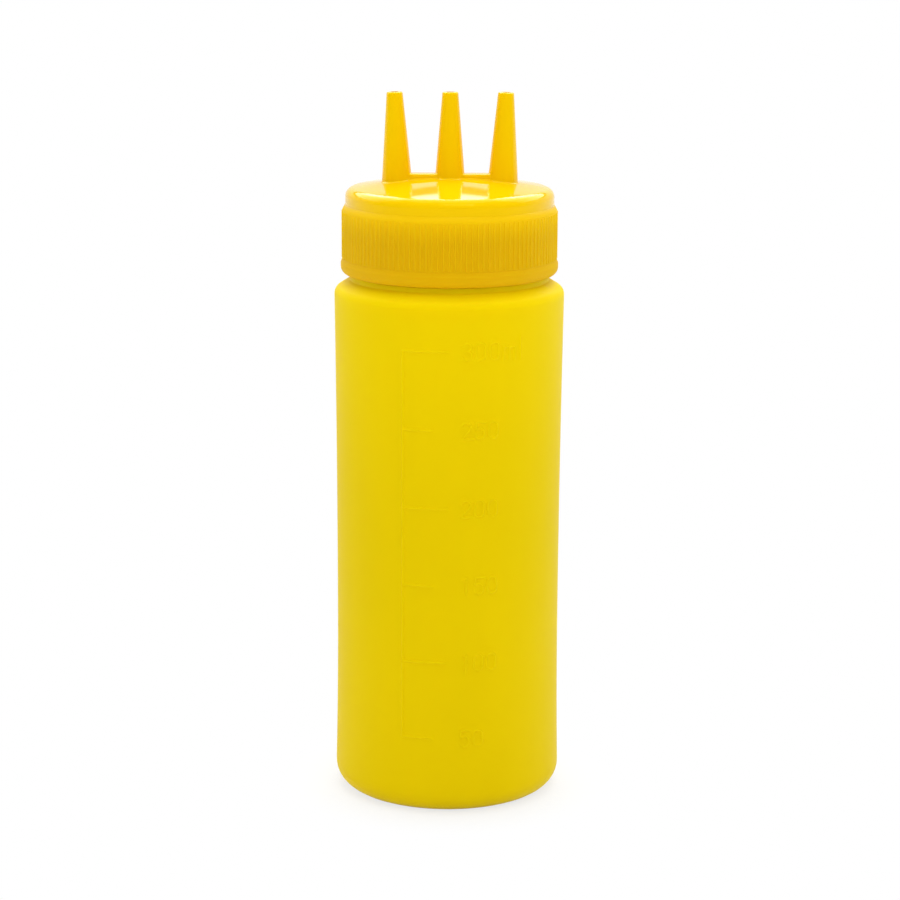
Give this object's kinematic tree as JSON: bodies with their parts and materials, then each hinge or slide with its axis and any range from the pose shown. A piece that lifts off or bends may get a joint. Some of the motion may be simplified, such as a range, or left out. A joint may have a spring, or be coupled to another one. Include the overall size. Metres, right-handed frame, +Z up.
{
  "type": "squeeze bottle",
  "caption": "Round squeeze bottle with a ribbed screw cap that carries a row of tapered dispensing nozzles.",
  "frame": {"origin": "centre of the foot, on the surface the bottle stands on", "axes": "+Z up the bottle; the row of nozzles runs along X; the front, with the fill scale, faces -Y"},
  "size_m": [0.059, 0.059, 0.1824],
  "materials": {
    "bottle_plastic": "satin low-density polyethylene, slightly translucent",
    "cap_plastic": "glossy moulded polyethylene with fine grip ribs"
  },
  "bodies": {
    "root": {"bottle": "bottle_plastic", "cap": "cap_plastic"}
  },
  "joints": []
}
